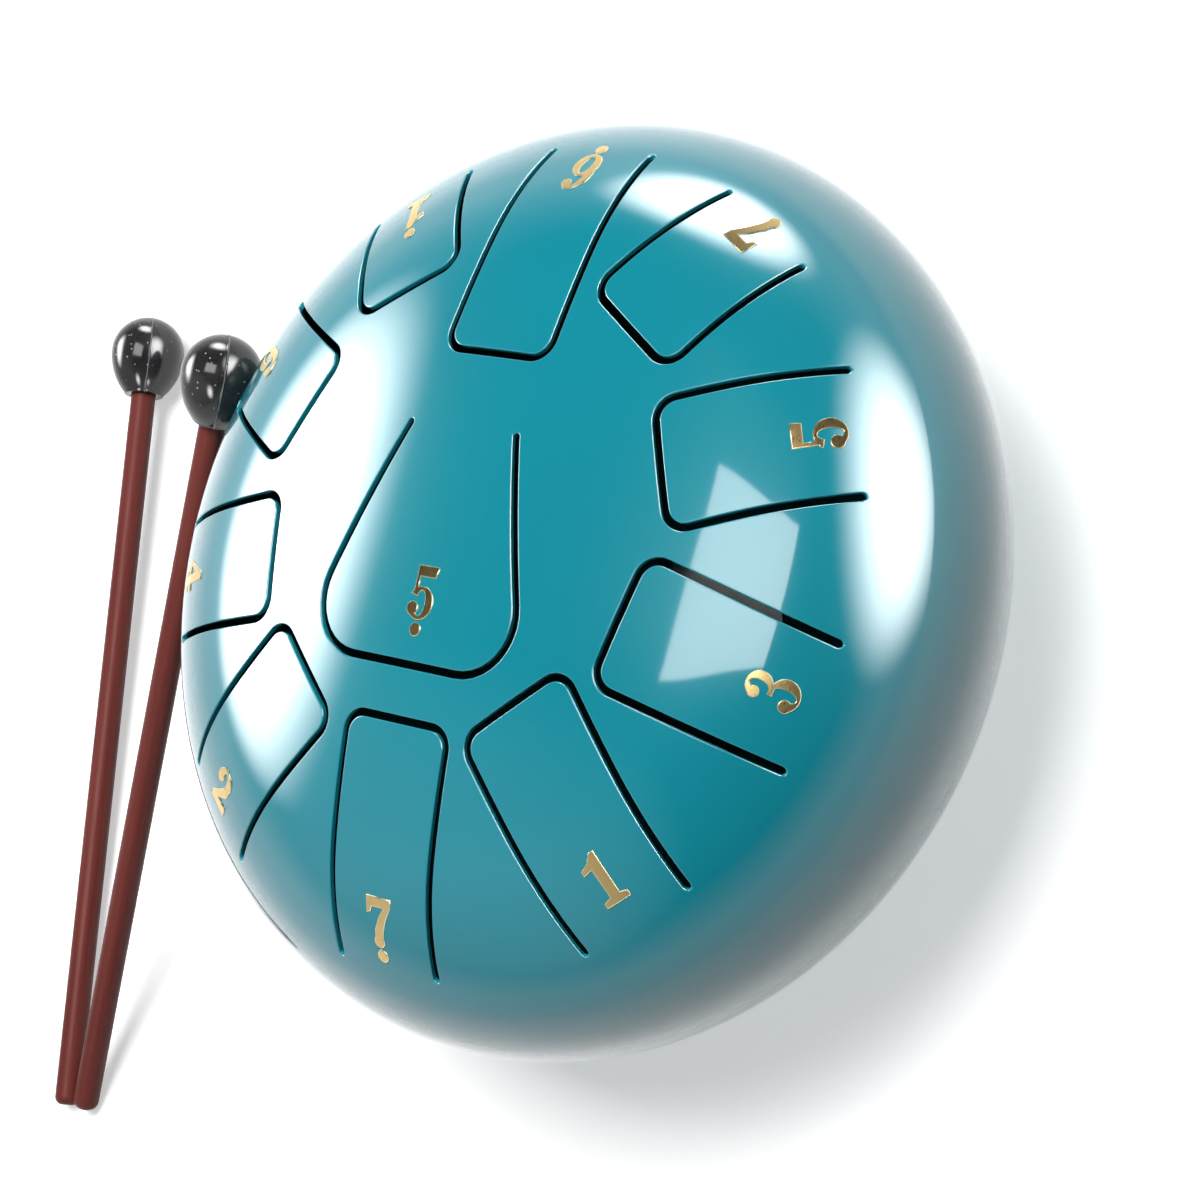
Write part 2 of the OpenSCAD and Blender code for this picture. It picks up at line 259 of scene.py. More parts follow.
# in each look, scales are those of the broad and the fine variation, and a range is the stretch of its factor
# over which one colour turns into the other
enamelLook = {
    "colour": (0.0065, 0.262, 0.335),
    "deeper": (0.0055, 0.232, 0.300),
    # the edge colour is a painted highlight, paler teal on the rounded edges
    "edge": (0.02, 0.35, 0.43),
    "edgeHighlightRange": (0.1, 1.6),
    # the inside colour is painted shade, near black teal in the drum's closed hollow
    "inside": (0.004, 0.030, 0.036),
    "scales": (9, 420),
    "roughness": (0.19, 0.23),
    "insideRoughness": 0.9,
    "specular": 0.15,
    "coatIor": 1.6,
    "coatRoughness": 0.05,
    "peelDepth": 0.006 * mm,
}


# stoved enamel: teal that drifts a little in depth, with a painted highlight of paler teal on the rounded
# edges, a soft gloss under a clear sharp one, and the fine waviness of sprayed paint; dull inside the drum,
# and painted dark there as the shade of its closed hollow
def makeEnamel(look):
    material, tree, surface = startMaterial("teal_enamel")
    broad, fine = useVariation(tree, placeOutput(tree), *look["scales"])
    body = blendColours(tree, broad, look["colour"], look["deeper"])
    # painted highlight: paler teal on the rounded edges
    outside = blendColours(tree, readNumber(tree, "edge"), body, look["edge"], *look["edgeHighlightRange"])
    inside = readNumber(tree, "inside")
    # painted shade: dark teal on the faces inside the drum
    colour = blendColours(tree, inside, outside, look["inside"], 0, 1)
    join(tree, colour, surface.inputs["Base Color"])
    satin = between(tree, broad, *look["roughness"])
    join(tree, mixNumbers(tree, inside, satin, look["insideRoughness"]), surface.inputs["Roughness"])
    join(tree, mixNumbers(tree, inside, 1.0, 0.0), surface.inputs["Coat Weight"])
    surface.inputs["Specular IOR Level"].default_value = look["specular"]
    surface.inputs["Coat IOR"].default_value = look["coatIor"]
    surface.inputs["Coat Roughness"].default_value = look["coatRoughness"]
    addBump(tree, surface, fine, look["peelDepth"])
    return material


foilLook = {
    "colour": (0.95, 0.72, 0.33),
    "tarnished": (0.84, 0.60, 0.25),
    # the rim colour is a painted highlight, pale gold on the rounded edge
    "rim": (0.98, 0.86, 0.56),
    "rimHighlightRange": (0.1, 0.9),
    "scales": (140, 1500),
    "stretch": (1, 0.25, 1),
    "roughness": (0.26, 0.34),
    "grainDepth": 0.001 * mm,
    "grainStrength": 0.1,
}


# gold foil: polished, with faint tarnish and fine drawn lines, and a painted highlight of pale gold on its
# pressed rim
def makeFoil(look):
    material, tree, surface = startMaterial("gold_foil")
    broad, fine = useVariation(tree, placeOutput(tree), *look["scales"], look["stretch"])
    body = blendColours(tree, broad, look["colour"], look["tarnished"])
    # painted highlight: pale gold on the rounded rim
    colour = blendColours(tree, readNumber(tree, "edge"), body, look["rim"], *look["rimHighlightRange"])
    join(tree, colour, surface.inputs["Base Color"])
    join(tree, between(tree, fine, *look["roughness"]), surface.inputs["Roughness"])
    surface.inputs["Metallic"].default_value = 1.0
    addBump(tree, surface, fine, look["grainDepth"], look["grainStrength"])
    return material


headLook = {
    "colour": (0.010, 0.010, 0.011),
    "paler": (0.018, 0.018, 0.018),
    "dust": (0.28, 0.28, 0.27),
    "dustScale": 800,
    "dustSize": 0.20,
    "dustShare": 0.10,
    # the pale grey below is a painted highlight on the seam's ridge
    "ridgeHighlight": (0.13, 0.13, 0.13),
    "ridgeHighlightRange": (0.08 * mm, 0.2 * mm),
    "scales": (120, 1500),
    "roughness": (0.09, 0.17),
    "grainDepth": 0.004 * mm,
}


# moulded rubber: near black and glossy, with a few pale specks of dust, a faint unevenness, and the ridge of
# its mould's seam painted pale as a highlight where it stands up
def makeHeadRubber(look):
    material, tree, surface = startMaterial("head_rubber")
    place = placeOutput(tree, "local")
    broad, fine = useVariation(tree, place, *look["scales"])
    body = blendColours(tree, broad, look["colour"], look["paler"])
    dust = useSpecks(tree, place, look["dustScale"], look["dustSize"], look["dustShare"])
    speckled = blendColours(tree, dust, body, look["dust"], 0, 1)
    # painted highlight: pale grey where the seam's ridge stands up
    colour = blendColours(tree, readNumber(tree, "raised"), speckled, look["ridgeHighlight"], *look["ridgeHighlightRange"])
    join(tree, colour, surface.inputs["Base Color"])
    join(tree, between(tree, broad, *look["roughness"]), surface.inputs["Roughness"])
    addBump(tree, surface, fine, look["grainDepth"])
    return material


lacquerLook = {
    "colour": (0.200, 0.044, 0.036),
    "deeper": (0.145, 0.028, 0.022),
    "pore": (0.095, 0.017, 0.014),
    "poreRange": (0.58, 0.95),
    "scales": (420, 1800),
    "stretch": (1, 1, 0.035),
    "roughness": (0.45, 0.60),
    "specular": 0.2,
    "coat": 0.1,
    "coatRoughness": 0.25,
    "grainDepth": 0.012 * mm,
}


# lacquered wood: long streaks along the stick in red brown, darker pores and a satin gloss
def makeLacquer(look):
    material, tree, surface = startMaterial("stick_lacquer")
    place = placeOutput(tree, "local")
    broad, fine = useVariation(tree, place, *look["scales"], look["stretch"])
    body = blendColours(tree, broad, look["colour"], look["deeper"])
    colour = blendColours(tree, fine, body, look["pore"], *look["poreRange"])
    join(tree, colour, surface.inputs["Base Color"])
    join(tree, between(tree, fine, *look["roughness"]), surface.inputs["Roughness"])
    surface.inputs["Specular IOR Level"].default_value = look["specular"]
    surface.inputs["Coat Weight"].default_value = look["coat"]
    surface.inputs["Coat Roughness"].default_value = look["coatRoughness"]
    addBump(tree, surface, fine, look["grainDepth"])
    return material


footLook = {
    "colour": (0.016, 0.016, 0.017),
    "bloom": (0.034, 0.034, 0.035),
    "scales": (140, 2200),
    "roughness": (0.6, 0.82),
    "grainDepth": 0.05 * mm,
}


# matt rubber of the feet: dark grey with pale bloom and a fine moulded grain
def makeFootRubber(look):
    material, tree, surface = startMaterial("foot_rubber")
    broad, fine = useVariation(tree, placeOutput(tree), *look["scales"])
    join(tree, blendColours(tree, broad, look["colour"], look["bloom"]), surface.inputs["Base Color"])
    join(tree, between(tree, fine, *look["roughness"]), surface.inputs["Roughness"])
    addBump(tree, surface, fine, look["grainDepth"])
    return material


enamel, foil, headRubber = makeEnamel(enamelLook), makeFoil(foilLook), makeHeadRubber(headLook)
stickLacquer, footRubber = makeLacquer(lacquerLook), makeFootRubber(footLook)
print("materials made")


# a mesh from arrays: places of its vertices, groups of faces with as many corners in each row, normals, and
# attributes with a number or a vector for each vertex
def makePiece(name, places, faceGroups, normals, material, **attributes):
    mesh = bpy.data.meshes.new(name)
    corners = np.concatenate([group.ravel() for group in faceGroups])
    sizes = np.concatenate([np.full(len(group), group.shape[1]) for group in faceGroups])
    mesh.vertices.add(len(places))
    mesh.vertices.foreach_set("co", places.astype(np.float32).ravel())
    mesh.loops.add(len(corners))
    mesh.loops.foreach_set("vertex_index", corners.astype(np.int32))
    mesh.polygons.add(len(sizes))
    mesh.polygons.foreach_set("loop_start", np.concatenate([[0], np.cumsum(sizes)[:-1]]).astype(np.int32))
    mesh.polygons.foreach_set("use_smooth", np.ones(len(sizes), bool))
    mesh.update(calc_edges=True)
    if normals is not None:
        mesh.normals_split_custom_set_from_vertices(normals.tolist())
    for key, values in attributes.items():
        kind, field = ("FLOAT", "value") if values.ndim == 1 else ("FLOAT_VECTOR", "vector")
        mesh.attributes.new(key, kind, "POINT").data.foreach_set(field, values.astype(np.float32).ravel())
    mesh.materials.append(material)
    piece = bpy.data.objects.new(name, mesh)
    bpy.context.scene.collection.objects.link(piece)
    print(name, len(places), "vertices,", int((sizes - 2).sum()), "triangles")
    return piece


# the pressed sheet; its arcs are shares of each shell's height, and the bend eases from one arc to the next
shell = {
    "thickness": 1.5 * mm,
    "domeRimShare": 0.724,
    "domeShoulderShare": 1.267,
    "domeBreakDeg": 42,
    "flatRadius": 38 * mm,
    "baseRimShare": 0.69,
    "holeRadius": 25 * mm,
    "holeEdge": 0.5 * mm,
    "easing": 5 * mm,
    "gridStep": 2 * mm,
    "rimClearShare": 0.7,
    "lineClearShare": 0.75,
    "rimPoints": 480,
    "baseRows": 64,
    "baseInnerRows": 24,
    "holeRows": 6,
}


# the dome's arcs from the middle to the rim, each as (length along the sheet, bend), with bend = 1 / radius
def domeArcs(radius, height):
    rim = shell["domeRimShare"] * height
    shoulder = shell["domeShoulderShare"] * height
    turn = math.radians(shell["domeBreakDeg"])
    run = radius - rim - (shoulder - rim) * math.sin(turn)
    rise = height + (shoulder - rim) * math.cos(turn) - shoulder
    crownTurn = 2 * math.atan(rise / run)
    crown = run / math.sin(crownTurn) + shoulder
    return [
        (crown * crownTurn, 1 / crown),
        (shoulder * (turn - crownTurn), 1 / shoulder),
        (rim * (math.pi / 2 - turn), 1 / rim),
    ]


# the lower shell's flat and arcs, in the same form
def baseArcs(radius, height):
    flat = shell["flatRadius"]
    rim = shell["baseRimShare"] * height
    run = radius - flat - rim
    turn = 2 * math.atan((height - rim) / run)
    shoulder = run / math.sin(turn) + rim
    return [(flat, 0), (shoulder * turn, 1 / shoulder), (rim * (math.pi / 2 - turn), 1 / rim)]


# running sum of values over steps of one size, by the trapezium rule
def runningSum(values, step):
    return np.concatenate([[0], np.cumsum((values[1:] + values[:-1]) / 2 * step)])


# half section of a shell: slope = sum of bend along the sheet, r = sum of cos(slope), z = -sum of sin(slope),
# drawn out to the exact radius and height; the outward normal is (sin, cos) of the slope
def pressedSection(arcs, radius, height, samples=6001):
    lengths, bends = np.array(arcs).T
    s = np.linspace(0, lengths.sum(), samples)
    step = s[1]
    bend = bends[np.minimum(np.searchsorted(np.cumsum(lengths), s), len(arcs) - 1)]
    reach = int(3 * shell["easing"] / step)
    kernel = np.exp(-0.5 * (np.arange(-reach, reach + 1) * step / shell["easing"]) ** 2)
    bend = np.convolve(np.pad(bend, reach, mode="edge"), kernel / kernel.sum(), mode="valid")
    slope = runningSum(bend, step)
    slope *= math.pi / 2 / slope[-1]
    r = runningSum(np.cos(slope), step)
    drop = runningSum(np.sin(slope), step)
    outR, outZ = np.sin(slope) * height / drop[-1], np.cos(slope) * radius / r[-1]
    length = np.hypot(outR, outZ)
    return {
        "s": s,
        "r": r * radius / r[-1],
        "z": height * (1 - drop / drop[-1]),
        "outR": outR / length,
        "outZ": outZ / length,
    }


domeSection = pressedSection(domeArcs(drumRadius, domeHeight), drumRadius, domeHeight)
baseSection = pressedSection(baseArcs(drumRadius, baseDepth), drumRadius, baseDepth)


# a value of the section, read at distances s along it
def along(section, name, s):
    return np.interp(s, section["s"], section[name])


# plan view to flattened sheet: each point keeps its direction from the axis, and its distance is measured
# along the sheet
def flatten(plan):
    r = np.hypot(plan[:, 0], plan[:, 1])
    s = np.interp(r, domeSection["r"], domeSection["s"])
    return plan * (s / np.maximum(r, 1e-9))[:, None]


# flattened sheet to space: place of each point at some depth under the dome's outside, and the normal there
def onDome(flat, depth=0.0):
    s = np.hypot(flat[:, 0], flat[:, 1])
    turn = flat / np.maximum(s, 1e-9)[:, None]
    outR, outZ = along(domeSection, "outR", s), along(domeSection, "outZ", s)
    r = along(domeSection, "r", s) - depth * outR
    z = along(domeSection, "z", s) - depth * outZ + rimZ
    return np.column_stack([turn * r[:, None], z]), np.column_stack([turn * outR[:, None], outZ])


# flattened sheet to plan view
def toPlan(flat):
    s = np.hypot(flat[:, 0], flat[:, 1])
    return flat * (along(domeSection, "r", s) / np.maximum(s, 1e-9))[:, None]


# tongues in the plan view, each along its own +X from its free end to its root
ringTongue = {"tipHalf": 17.2 * mm, "rootHalf": 16.55 * mm, "corner": 5.5 * mm, "root": 110 * mm}
centreTongue = {
    "tip": -34.3 * mm,
    "tipHalf": 38.4 * mm,
    "rootHalf": 17.7 * mm,
    "corner": 15 * mm,
    "root": 28.3 * mm,
    "shift": (-2 * mm, 0),
}
# note, direction of its tongue in degrees, and its free end as a share of the drum's radius
tongues = [
    ("low_5", 90, 0),
    ("low_6", 90, 0.381),
    ("low_7", 270, 0.380),
    ("1", -48.5, 0.406),
    ("2", 228.5, 0.426),
    ("3", -12, 0.474),
    ("4", 192, 0.478),
    ("5", 24, 0.508),
    ("6", 156, 0.535),
    ("7", 58, 0.555),
    ("high_1", 122, 0.59),
]
# the slot's width, the rounding of its painted edges, the points along it, and the length of sheet past each
# root over which a tongue bends
slot = {
    "width": 2 * mm,
    "bevel": 0.38 * mm,
    "innerBevel": 0.15 * mm,
    "bevelSteps": 5,
    "step": 0.9 * mm,
    "cornerSteps": 10,
    "capSteps": 8,
    "flexLength": 14 * mm,
}


# evenly spaced points on a straight line, without its last
def straight(start, end, step):
    count = max(2, round(float(np.linalg.norm(np.subtract(end, start))) / step))
    return np.linspace(start, end, count, endpoint=False)


# unit vectors at angles in radians
def headings(angles):
    return np.column_stack([np.cos(angles), np.sin(angles)])


def evenAngles(count):
    return np.linspace(0, 2 * math.pi, count, endpoint=False)


# the middle of a slot round a tongue along +X, from the root of its +Y side round the free end to the other
# root, and the unit vector square to it that points away from the tongue at each place
def slotMiddle(tip, root, tipHalf, rootHalf, corner):
    lean = math.atan2(rootHalf - tipHalf, root - tip)
    end = root - slot["width"] / 2
    start = (end, tipHalf + (end - tip) * math.tan(lean))
    bend = np.array([tip + corner, tipHalf + corner * math.tan(lean) - corner / math.cos(lean)])
    across = headings(np.array([math.pi / 2 + lean]))
    side = straight(start, bend + corner * across[0], slot["step"])
    cornerOut = headings(np.linspace(math.pi / 2 + lean, math.pi, slot["cornerSteps"] + 1))
    free = straight((tip, bend[1]), (tip, 0), slot["step"])[1:]
    places = np.concatenate([side, bend + corner * cornerOut, free])
    out = np.concatenate([np.repeat(across, len(side), 0), cornerOut, np.tile([-1.0, 0.0], (len(free), 1))])
    mirrored = [1, -1]
    middle = [[tip, 0.0]]
    return (
        np.concatenate([places, middle, places[::-1] * mirrored]),
        np.concatenate([out, [[-1.0, 0.0]], out[::-1] * mirrored]),
    )


# the closed line round a slot: out along one side, round its end, back along the other, round the first end;
# each point is a place on the slot's middle and a unit vector out of it
def slotRound(places, out):
    halfTurn = np.linspace(0, math.pi, slot["capSteps"] + 1)[1:-1]
    lastCap = headings(math.atan2(out[-1, 1], out[-1, 0]) + halfTurn)
    firstCap = headings(math.atan2(-out[0, 1], -out[0, 0]) + halfTurn)
    lastPlace, firstPlace = (np.repeat(end, len(halfTurn), 0) for end in (places[-1:], places[:1]))
    middle = np.concatenate([places, lastPlace, places[::-1], firstPlace])
    away = np.concatenate([out, lastCap, -out[::-1], firstCap])
    return middle, away


# what a sheet's edge does past its face, in rows: distance past the face, depth under it, and how far the
# normal has turned. A quarter round of size bevel, the wall, and a small round inside
def edgeSteps(bevel, thickness, steps, inner):
    turn = np.linspace(0, math.pi / 2, steps + 1)[1:]
    halfway = 0.3 * inner
    past = np.concatenate([bevel * np.sin(turn), [bevel, bevel - halfway, bevel - inner]])
    depth = np.concatenate([bevel * (1 - np.cos(turn)), [thickness - inner, thickness - halfway, thickness]])
    facing = np.concatenate([turn, [math.pi / 2, 0.75 * math.pi, math.pi]])
    return past, depth, facing


# which points lie inside a closed line, by counting its crossings with a ray along +X from each point
def insideLine(points, line):
    x, y = points[:, :1], points[:, 1:]
    ax, ay = line[:, 0], line[:, 1]
    bx, by = np.roll(ax, -1), np.roll(ay, -1)
    crosses = (ay > y) != (by > y)
    rise = np.where(by == ay, 1, by - ay)
    return (crosses & (x < ax + (y - ay) * (bx - ax) / rise)).sum(1) % 2 == 1


# points in a plane, turned anticlockwise about its middle
def turned(points, angle):
    c, s = math.cos(angle), math.sin(angle)
    return points @ np.array([[c, s], [-s, c]])


# distance from each point to the nearest point of a line
def gapTo(points, line):
    return np.hypot(points[:, None, 0] - line[:, 0], points[:, None, 1] - line[:, 1]).min(1)


# staggered rows of points that fill a square with this half side
def staggeredGrid(halfSide, step):
    rowStep = step * math.sqrt(3) / 2
    x, y = np.meshgrid(np.arange(-halfSide, halfSide, step), np.arange(-halfSide, halfSide, rowStep))
    x[::2] += step / 2
    return np.column_stack([x.ravel(), y.ravel()])


# for closed lines whose points follow each other in one array, the numbers of each line's points
def numbersOf(rings):
    starts = np.cumsum([0] + [len(ring) for ring in rings])
    return [list(range(first, after)) for first, after in zip(starts[:-1], starts[1:])]


# triangles between points in a plane, cut along lines and round rings, with no point added or lost
def triangulate(name, points, lines, rings):
    made = delaunay_2d_cdt((points / mm).tolist(), lines, rings, 1, 1e-5)
    if len(made[0]) != len(points):
        raise SystemExit(f"{name} has {len(made[0])} points in place of {len(points)}")
    return np.array(made[2])


# a tongue's sizes and place; the wide one in the middle has a share of 0
def tongueForm(tipShare):
    return dict(ringTongue, tip=tipShare * drumRadius, shift=(0, 0)) if tipShare else centreTongue


# the painted edge round a tongue's slot, flattened: its points, the way on from each into the slot, and the
# numbers of those on the tongue's side
def slotEdge(degrees, form):
    places, out = slotMiddle(form["tip"], form["root"], form["tipHalf"], form["rootHalf"], form["corner"])
    middle, outward = slotRound(places, out)
    angle = math.radians(degrees)
    middle, outward = turned(middle, angle) + form["shift"], turned(outward, angle)
    edge = flatten(middle + (slot["width"] / 2 + slot["bevel"]) * outward)
    first = len(places) + slot["capSteps"] - 1
    return edge, -outward, np.arange(first, first + len(places))


# the whole dome flattened, cut by every slot and by the line across each root: points, the way that the edge
# goes on from each, triangles, and for each tongue its slot's edge and its own outline
def cutDome():
    reach, step, count = domeSection["s"][-1], shell["gridStep"], shell["rimPoints"]
    points, away = [reach * headings(evenAngles(count))], [np.zeros((count, 2))]
    rings, rootLines, outlines = [list(range(count))], [], []
    for _, degrees, tipShare in tongues:
        edge, onward, inner = slotEdge(degrees, tongueForm(tipShare))
        root = straight(edge[inner[-1]], edge[inner[0]], slot["step"])[1:]
        points += [edge, root]
        away += [onward, np.zeros_like(root)]
        rings.append(list(range(count, count + len(edge))))
        chain = count + np.concatenate([inner[-1:], len(edge) + np.arange(len(root)), inner[:1]])
        rootLines += np.column_stack([chain[:-1], chain[1:]]).tolist()
        outlines.append((edge, np.concatenate([edge[inner], root])))
        count += len(edge) + len(root)
    grid = staggeredGrid(reach, step)
    grid = grid[np.hypot(grid[:, 0], grid[:, 1]) < reach - shell["rimClearShare"] * step]
    clear = shell["lineClearShare"] * step
    for edge, outline in outlines:
        near = ((grid > edge.min(0) - clear) & (grid < edge.max(0) + clear)).all(1)
        keep = ~near
        keep[near] = gapTo(grid[near], np.concatenate([edge, outline])) > clear
        grid = grid[keep]
    flat = np.concatenate(points + [grid])
    away = np.concatenate(away + [np.zeros_like(grid)])
    return flat, away, triangulate("the cut dome", flat, rootLines, rings), outlines


# the border of a set of triangles, as arrows that keep the triangles on their left
def borderArrows(triangles):
    arrows = np.concatenate([triangles[:, [0, 1]], triangles[:, [1, 2]], triangles[:, [2, 0]]])
    size = arrows.max() + 1
    back = np.isin(arrows[:, 0] * size + arrows[:, 1], arrows[:, 1] * size + arrows[:, 0])
    return arrows[~back]


# a closed piece of sheet: its outside, its inside a thickness below, and its edge turned over between them
def sheetPiece(name, flat, away, triangles, depths, steps, material):
    used, triangles = np.unique(triangles, return_inverse=True)
    triangles = triangles.reshape(-1, 3)
    flat, away = flat[used], away[used]
    count = len(used)
    border = borderArrows(triangles)
    ends = np.unique(border)
    outside, normal = onDome(flat, depths[0])
    underside, _ = onDome(flat, depths[1])
    plan = toPlan(flat[ends])
    # out of the edge, square to the face's normal
    sideways = np.column_stack([away[ends], np.zeros(len(ends))])
    sideways -= (sideways * normal[ends]).sum(1)[:, None] * normal[ends]
    sideways /= np.maximum(np.linalg.norm(sideways, axis=1), 1e-9)[:, None]
    places, normals = [outside, underside], [normal, -normal]
    past, depth, facing = steps
    for run, fall, turn in zip(past, depth, facing):
        place, _ = onDome(flatten(plan + run * away[ends]), depths[0] + fall)
        places.append(place)
        normals.append(math.cos(turn) * normal[ends] + math.sin(turn) * sideways)
    normals = np.concatenate(normals)
    normals /= np.maximum(np.linalg.norm(normals, axis=1), 1e-9)[:, None]
    turnedOver = 2 * count + np.arange(len(past) * len(ends)).reshape(len(past), len(ends))
    rows = np.vstack([ends, turnedOver, count + ends])
    a, b = np.searchsorted(ends, border.T)
    walls = [np.column_stack([row[a], after[a], after[b], row[b]]) for row, after in zip(rows, rows[1:])]
    faces = [np.concatenate([triangles, triangles[:, ::-1] + count]), np.concatenate(walls)]
    # 1 on the rows of the quarter round and wall, and 1 on the inside and the rows that turn on to it
    # the enamel and the foil paint a highlight where edge is 1
    edge = np.concatenate([np.zeros(2 * count), np.repeat(facing < 0.51 * math.pi, len(ends))])
    # the enamel paints shade where inside is 1
    inside = np.concatenate([np.zeros(count), np.ones(count), np.repeat(facing > 0.7 * math.pi, len(ends))])
    return makePiece(name, np.concatenate(places), faces, normals, material, edge=edge, inside=inside)


def dressDome():
    flat, away, triangles, outlines = cutDome()
    middles = flat[triangles].mean(1)
    steps = edgeSteps(slot["bevel"], shell["thickness"], slot["bevelSteps"], slot["innerBevel"])
    depths = (0.0, shell["thickness"])
    left = np.ones(len(triangles), bool)
    for (note, *_), (edge, outline) in zip(tongues, outlines):
        near = np.flatnonzero(((middles > edge.min(0)) & (middles < edge.max(0))).all(1))
        inSlot = insideLine(middles[near], edge)
        inTongue = insideLine(middles[near], outline) & ~inSlot
        left[near[inSlot | inTongue]] = False
        own = triangles[near[inTongue]]
        tongue = sheetPiece("painted_tongue_" + note, flat, away, own, depths, steps, enamel)
        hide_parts("tongue_" + note)
        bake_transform(tongue)
    top = sheetPiece("painted_top_shell", flat, away, triangles[left], depths, steps, enamel)
    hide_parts("top_shell")
    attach(top, "drum")


dressDome()
print("dome and tongues made")


# rows along an arc of a section, as (r, z) and the outward normal there, with its angles in degrees from up
def arcRows(centreR, centreZ, radius, start, end, count):
    turn = np.radians(np.linspace(start, end, count))
    out = np.column_stack([np.sin(turn), np.cos(turn)])
    return np.column_stack([(centreR, centreZ) + radius * out, out])


# rows along a straight line, in the same form
def lineRows(startR, startZ, endR, endZ, outR, outZ, count):
    return np.linspace((startR, startZ, outR, outZ), (endR, endZ, outR, outZ), count)


# rows of a pressed section at distances s along it; those at some depth under it face inwards
def sectionRows(section, s, depth=0.0):
    r, z, outR, outZ = (along(section, name, s) for name in ("r", "z", "outR", "outZ"))
    side = -1 if depth else 1
    return np.column_stack([r - depth * outR, z - depth * outZ, side * outR, side * outZ])


# rows of (r, z) carried round the axis to every angle
def carriedRound(r, z, angles):
    x, y = np.outer(r, np.cos(angles)), np.outer(r, np.sin(angles))
    return np.stack([x, y, np.outer(z, np.ones(len(angles)))], -1).reshape(-1, 3)


# a surface of revolution about +Z from rows of points (r, z) and normals, which close on themselves or begin
# and end on the axis. Lift moves the points out along their normals, place is a turn and a start that carry
# the whole piece, and inside is 1 on the rows that are inside the drum
def turnedPiece(name, r, z, outR, outZ, angles, material, place=None, lift=None, inside=None):
    poles = r[0] < 1e-7
    rows = slice(1, -1) if poles else slice(None)
    grid = carriedRound(r[rows], z[rows], angles)
    normals = carriedRound(outR[rows], outZ[rows], angles)
    raised = lift(r[rows], z[rows], angles).ravel() if lift else np.zeros(len(grid))
    grid += raised[:, None] * normals
    count = len(angles)
    index = np.arange(len(grid)).reshape(-1, count)
    after = np.roll(index, -1, axis=1)
    below = slice(1, None) if poles else np.roll(np.arange(len(index)), -1)
    above = slice(None, -1) if poles else slice(None)
    quads = np.stack([index[above], index[below], after[below], after[above]], -1).reshape(-1, 4)
    groups = [quads]
    if poles:
        first, last = len(grid), len(grid) + 1
        top = z[0] + (lift(r[:1], z[:1], angles[:1])[0, 0] if lift else 0)
        grid = np.vstack([grid, [0, 0, top], [0, 0, z[-1]]])
        normals = np.vstack([normals, [0, 0, np.sign(outZ[0])], [0, 0, np.sign(outZ[-1])]])
        raised = np.append(raised, [top - z[0], 0])
        groups.append(np.column_stack([np.full(count, first), index[0], after[0]]))
        groups.append(np.column_stack([np.full(count, last), after[-1], index[-1]]))
    attributes = {"local": grid}
    if lift:
        attributes["raised"] = raised
    if inside is not None:
        attributes["inside"] = np.repeat(inside, count)
    if place is not None:
        turn, start = place
        grid, normals = grid @ turn.T + start, normals @ turn.T
    return makePiece(name, grid, groups, None if lift else normals, material, **attributes)


def dressBase():
    s, thickness = baseSection["s"], shell["thickness"]
    hole, edge, steps = shell["holeRadius"], shell["holeEdge"], shell["holeRows"]
    start = np.interp(hole + edge, baseSection["r"], s)
    # underside out to the rim, back along the inside, and round the hole's edge
    parts = [
        sectionRows(baseSection, np.linspace(start, s[-1], shell["baseRows"])),
        sectionRows(baseSection, np.linspace(s[-1], start, shell["baseInnerRows"]), thickness),
        arcRows(hole + edge, baseDepth - thickness + edge, edge, 180, 270, steps),
        arcRows(hole + edge, baseDepth - edge, edge, 270, 360, steps)[:-1],
    ]
    # the enamel paints shade on the inside rows
    inside = np.repeat([0.0, 1.0, 0.0, 0.0], [len(part) for part in parts])[::-1]
    r, z, outR, outZ = np.concatenate(parts)[::-1].T
    angles = evenAngles(shell["rimPoints"])
    base = turnedPiece("painted_bottom_shell", r, rimZ - z, outR, -outZ, angles, enamel, inside=inside)
    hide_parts("bottom_shell")
    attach(base, "drum")


dressBase()
print("lower shell made")

